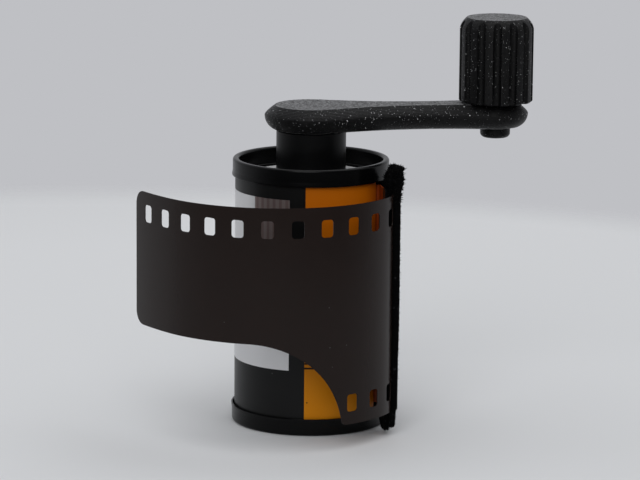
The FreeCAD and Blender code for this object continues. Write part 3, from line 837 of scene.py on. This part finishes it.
def makeCap(name, node, direction):
    low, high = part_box(node)
    rim = (high.z if direction > 0 else low.z) / mm
    profile = [(radius, rim + direction * level) for radius, level in capProfile(high.x / mm)]
    piece = turnUp(name, profile, cap["steps"], True)
    piece.data.materials.append(finishes["capLacquer"])
    piece.data.materials.append(finishes["paintedFloorReflection"])
    # painted reflection: the floor faces inside greyRadius take the grey second finish, for the backdrop the
    # black floor mirrors
    floorLevel = rim - direction * cap["recess"]
    for face in piece.data.polygons:
        x, y, level = face.center / mm
        inPaintedReflection = abs(level - floorLevel) < cap["greyWithin"] and math.hypot(x, y) < cap["greyRadius"]
        face.material_index = 1 if inPaintedReflection else 0
    place(piece, "cassette", "cap_lacquer", node)


makeCap("topCap", "top_cap", 1)
makeCap("bottomCap", "bottom_cap", -1)
print("caps made")

# film: drawn flat with its holes, sliced across, given its thickness and bent along its path
# lengths run along the film in mm, from the end of the bend where it leaves the light trap;
# bends are radius and degrees, arcs length and radius
film = {"thickness": 0.14, "trapDepth": 10.90, "trapFrom": 1.0, "trapTo": 12.95, "bends": [(2.5, 29.2)],
        "arcs": [(3.2, 13.6), (26.3, 19.9), (12.9, 23.5), (9.5, 52.0)], "pathStep": 0.35, "tongue": 21.55,
        "cutRadius": 15.5, "cutSteps": 28, "cutStart": 27.3, "cutCorner": 0.9, "cutCornerSteps": 8,
        "tipCorner": 2.2, "tipSteps": 10, "pitch": 4.75, "firstHole": 0.56, "hole": (1.98, 2.79),
        "holeCorner": 0.5, "holeSteps": 5, "holeEdge": 2.01, "slice": 0.5, "smooth": 40}


def filmPath():
    # points along the film's mid line, evenly enough for the bend to look round
    heading = lipTurn - math.pi / 2
    run = film["trapTo"] - film["trapFrom"]
    arcs = [(run, 0)] + [(math.radians(a) * r, r) for r, a in film["bends"]] + film["arcs"]
    spot = slotOut.xy * film["trapDepth"] + Vector((math.cos(heading), math.sin(heading))) * film["trapFrom"]
    points = [spot]
    for length, radius in arcs:
        steps = max(2, round(length / film["pathStep"]))
        for step in range(steps):
            turned = length / steps / radius if radius else 0
            heading -= turned / 2
            chord = 2 * radius * math.sin(turned / 2) if radius else length / steps
            spot = spot + Vector((math.cos(heading), math.sin(heading))) * chord
            heading -= turned / 2
            points.append(spot)
    return points, sum(length for length, radius in arcs)


def addLine(curve, points, closed):
    line = curve.splines.new("POLY")
    line.points.add(len(points) - 1)
    for point, (x, y) in zip(line.points, points):
        point.co = (x * mm, y * mm, 0, 1)
    line.use_cyclic_u = closed


def filmOutline(length, hidden, low, high):
    # hidden is the length inside the light trap
    tip, cutTop, corner = length, high - film["tongue"], film["tipCorner"]
    radius, foot = film["cutRadius"], film["cutCorner"]
    centre = (hidden + film["cutStart"], cutTop - radius)
    first = math.degrees(math.asin((low + foot - centre[1]) / radius))
    footX = centre[0] - radius * math.cos(math.radians(first))
    points = [(0, high), (0, low)]
    points += arcPoints((footX - foot, low + foot), foot, -90, 0, film["cutCornerSteps"])
    points += arcPoints(centre, radius, 180 - first, 90, film["cutSteps"])[1:]
    points += arcPoints((tip - corner, cutTop + corner), corner, -90, 0, film["tipSteps"])
    points += arcPoints((tip - corner, high - corner), corner, 0, 90, film["tipSteps"])
    return points, footX


def holeOutline(x, z):
    corner = film["holeCorner"]
    wide, tall = film["hole"][0] / 2 - corner, film["hole"][1] / 2 - corner
    points = []
    for sideX, sideZ, start in ((1, 1, 0), (-1, 1, 90), (-1, -1, 180), (1, -1, 270)):
        centre = (x + sideX * wide, z + sideZ * tall)
        points += arcPoints(centre, corner, start, start + 90, film["holeSteps"])
    return points


def makeFilm():
    low, high = (corner.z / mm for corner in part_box("film_leader"))
    path, length = filmPath()
    hidden = length - sum(run for run, radius in film["arcs"])
    flat = bpy.data.curves.new("filmFlat", "CURVE")
    flat.dimensions, flat.fill_mode = "2D", "BOTH"
    outline, footX = filmOutline(length, hidden, low, high)
    addLine(flat, outline, True)
    inset = film["holeEdge"] + film["hole"][1] / 2
    x = hidden + film["firstHole"]
    while x < length - film["hole"][0]:
        addLine(flat, holeOutline(x, high - inset), True)
        if x < footX - film["hole"][0] / 2:
            addLine(flat, holeOutline(x, low + inset), True)
        x += film["pitch"]
    choose(newObject("filmLeader", flat))
    bpy.ops.object.convert(target="MESH")
    piece = bpy.context.object
    piece.rotation_euler = (math.pi / 2, 0, 0)
    startPiece("filmLeader")
    settle()
    for index in range(1, int(length / film["slice"])):
        bpy.ops.mesh.select_all(action="SELECT")
        bpy.ops.mesh.bisect(plane_co=(index * film["slice"] * mm, 0, 0), plane_no=(1, 0, 0))
    cleanUp(piece)
    wall = piece.modifiers.new("wall", "SOLIDIFY")
    wall.thickness, wall.offset = film["thickness"] * mm, 0
    route = bpy.data.curves.new("filmRoute", "CURVE")
    route.dimensions = "2D"
    addLine(route, path, False)
    guide = newObject("filmRoute", route)
    bend = piece.modifiers.new("bend", "CURVE")
    bend.object, bend.deform_axis = guide, "POS_X"
    applyTo(piece, wall, bend)
    bpy.data.objects.remove(guide)
    bpy.ops.object.shade_smooth_by_angle(angle=math.radians(film["smooth"]))
    piece.data.materials.append(finishes["filmBase"])
    place(piece, "cassette", "film_base", "film_leader")


makeFilm()
print("film made")

# felts: the strips' own shape, thickened pile with loose fibres standing off it; lengths in mm
felt = {"voxel": 0.16, "lumps": 0.12, "lumpSize": 0.35, "lumpDepth": 2, "lumpLevel": 0.6, "fray": 0.6,
        "fraySize": 0.5, "tuftFrom": 37.0, "tuftPower": 1.4, "footFrom": 4.5, "lipEnd": 12.93,
        "spreadOver": 0.22, "spreadFull": 18.0}
# fibres: where they stand, from the top, the foot and the mouth, and their own sizes; lengths in mm
fibre = {"count": 2100, "topReach": 4, "footReach": 2, "mouthReach": 0.5, "length": (0.12, 0.36),
         "tuftLength": (0.30, 0.65), "radius": 0.05, "tuftThick": 2.0, "topShare": 0.4, "topFacing": 0.5,
         "stray": 0.5, "tuftRise": 0.8, "sortStep": 0.02}
strips = [
    {"node": "outer_felt", "name": "outerFelt", "tuftLean": 0.50, "footLean": 0.32, "spread": 0.38,
     "seed": 7, "fraySeed": 1},
    {"node": "inner_felt", "name": "innerFelt", "tuftLean": 1.12, "footLean": 0.0, "spread": 0.0,
     "seed": 8, "fraySeed": 47},
]


def nodeCopy(node, name):
    piece = newObject(name, frame["nodes"][node].data.copy())
    piece.data.materials.clear()
    choose(piece)
    return cleanUp(startPiece(name))


def makeStrip(spec):
    # the ends lean out past the lip, and the free edge of the pile spreads over the lip's end
    piece = nodeCopy(spec["node"], spec["name"])
    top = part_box(spec["node"])[1].z / mm
    remesh = piece.modifiers.new("pile", "REMESH")
    remesh.mode, remesh.voxel_size = "VOXEL", felt["voxel"] * mm
    texture = bpy.data.textures.new(spec["name"] + "Lumps", "CLOUDS")
    texture.noise_scale, texture.noise_depth = felt["lumpSize"] * mm, felt["lumpDepth"]
    lumps = piece.modifiers.new("lumps", "DISPLACE")
    lumps.texture, lumps.texture_coords = texture, "OBJECT"
    lumps.strength, lumps.mid_level = felt["lumps"] * mm, felt["lumpLevel"]
    applyTo(piece, remesh, lumps)
    slitSide = min(v.co.dot(slotOut) for v in piece.data.vertices)
    noise.seed_set(spec["fraySeed"])
    for vertex in piece.data.vertices:
        level = vertex.co.z / mm
        rise = max(0.0, (level - felt["tuftFrom"]) / (top - felt["tuftFrom"])) ** felt["tuftPower"]
        drop = max(0.0, (felt["footFrom"] - level) / felt["footFrom"])
        past = min(1.0, max(0.0, (vertex.co.dot(slotAlong) / mm - felt["lipEnd"]) / felt["spreadOver"] + 1))
        wider = spec["spread"] * past * min(1.0, level / felt["spreadFull"])
        shift = (vertex.co.dot(slotOut) - slitSide) * wider
        lean = spec["tuftLean"] * rise - spec["footLean"] * drop
        stray = noise.noise_vector(vertex.co / (felt["fraySize"] * mm)) * felt["fray"] * rise
        vertex.co += slotOut * (shift + lean * mm) + stray * mm
    bpy.ops.object.shade_smooth()
    addFibres(piece, spec["seed"])
    piece.data.materials.append(finishes["feltPile"])
    place(piece, "cassette", "felt_pile", spec["node"])


def makeSpike():
    # one thin three-sided fibre, 1 mm long: its points and its faces
    freshStart()
    bpy.ops.mesh.primitive_cone_add(vertices=3, radius1=fibre["radius"] * mm, radius2=0, depth=1 * mm,
                                    location=(0, 0, 0.5 * mm))
    spike = cleanUp(startPiece("fibre"))
    shape = [v.co.copy() for v in spike.data.vertices]
    sides = [tuple(face.vertices) for face in spike.data.polygons]
    bpy.data.objects.remove(spike)
    return shape, sides


def addFibres(piece, seed):
    # the spike is copied all over the faces that show at the mouth and the ends
    chance = random.Random(seed)
    shape, sides = makeSpike()
    mesh = piece.data
    low, high = min(v.co.z for v in mesh.vertices), max(v.co.z for v in mesh.vertices)
    mouthEnd = max(v.co.dot(slotAlong) for v in mesh.vertices)
    roots = []
    for face in mesh.polygons:
        level = face.center.z
        atEnd = level > high - fibre["topReach"] * mm or level < low + fibre["footReach"] * mm
        if atEnd or face.center.dot(slotAlong) > mouthEnd - fibre["mouthReach"] * mm:
            roots.append((face.center.copy(), face.normal.copy()))
    # the remesh gives its faces in any order, so they are sorted by place before the draw
    roots.sort(key=lambda root: [round(c / (fibre["sortStep"] * mm)) for c in root[0]])
    points, faces = [], []
    for root, normal in chance.sample(roots, min(fibre["count"], len(roots))):
        stray = Vector([chance.gauss(0, fibre["stray"]) for axis in range(3)])
        inTuft = root.z > felt["tuftFrom"] * mm
        rise = chance.uniform(0, fibre["tuftRise"]) if inTuft else 0
        along = (normal + stray + Vector((0, 0, rise))).normalized()
        stand = Vector((0, 0, 1)).rotation_difference(along).to_matrix()
        length = chance.uniform(*fibre["tuftLength" if inTuft else "length"])
        if inTuft and normal.z > fibre["topFacing"]:
            length *= fibre["topShare"]
        thick = fibre["tuftThick"] if inTuft else 1
        first = len(points)
        points += [root + stand @ Vector((v.x * thick, v.y * thick, v.z * length)) for v in shape]
        faces += [tuple(first + index for index in side) for side in sides]
    fibres = bpy.data.meshes.new("fibres")
    fibres.from_pydata(points, [], faces)
    choose(piece, newObject("fibres", fibres))
    bpy.ops.object.join()


for stripSpec in strips:
    makeStrip(stripSpec)
print("felts made")
